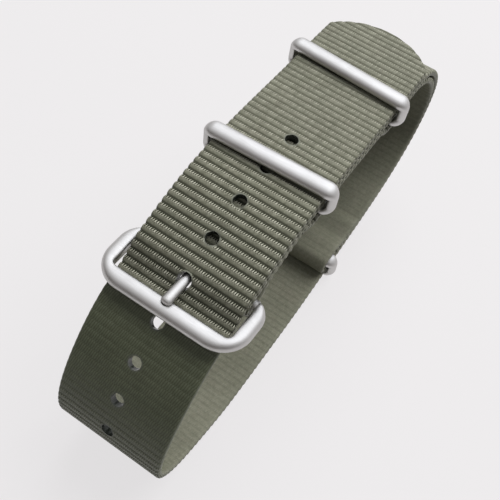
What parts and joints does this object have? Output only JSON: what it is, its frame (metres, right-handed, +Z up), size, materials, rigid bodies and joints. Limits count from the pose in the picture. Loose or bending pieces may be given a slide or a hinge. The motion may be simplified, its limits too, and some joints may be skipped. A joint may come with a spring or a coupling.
{
  "type": "nato watch strap",
  "caption": "Ribbed woven watch strap closed into an oval loop, its tail threaded through a pin buckle and metal keepers, with a short inner strap that ends in a ring.",
  "frame": {"origin": "middle of the loop's length and width, on the surface that the loop lies on", "axes": "+X round the front run from the buckle towards the tail's tip, +Y across the webbing, +Z up from the back run to the front run"},
  "size_m": [0.0922, 0.0256, 0.0454],
  "materials": {
    "webbing": "ribbed grey-green nylon weave, matt",
    "steel": "satin stainless steel with polished edges"
  },
  "bodies": {
    "strap": {"long_strap": "webbing", "short_strap": "webbing"},
    "buckle": {"buckle_frame": "steel"},
    "tongue": {"tongue": "steel"},
    "near_keeper": {"near_keeper": "steel"},
    "far_keeper": {"far_keeper": "steel"},
    "end_ring": {"end_ring": "steel"}
  },
  "joints": [
    {"name": "buckle_hinge", "type": "hinge", "parent": "strap", "child": "buckle", "pos_m": [-0.0232, 0, 0.03652], "axis": [0, 1, 0], "range_deg": [-1.5, 4]},
    {"name": "tongue_hinge", "type": "hinge", "parent": "buckle", "child": "tongue", "pos_m": [-0.0232, 0, 0.03652], "axis": [0, 1, 0], "range_deg": [0, 4]},
    {"name": "near_keeper_hinge", "type": "hinge", "parent": "strap", "child": "near_keeper", "pos_m": [-0.00478, 0, 0.04026], "axis": [0, 1, 0], "range_deg": [-4, 4]},
    {"name": "far_keeper_hinge", "type": "hinge", "parent": "strap", "child": "far_keeper", "pos_m": [0.02011, 0, 0.03937], "axis": [0, 1, 0], "range_deg": [-4, 4]},
    {"name": "end_ring_hinge", "type": "hinge", "parent": "strap", "child": "end_ring", "pos_m": [0.01073, 0, 0.00558], "axis": [0, 1, 0], "range_deg": [-5, 5]}
  ]
}
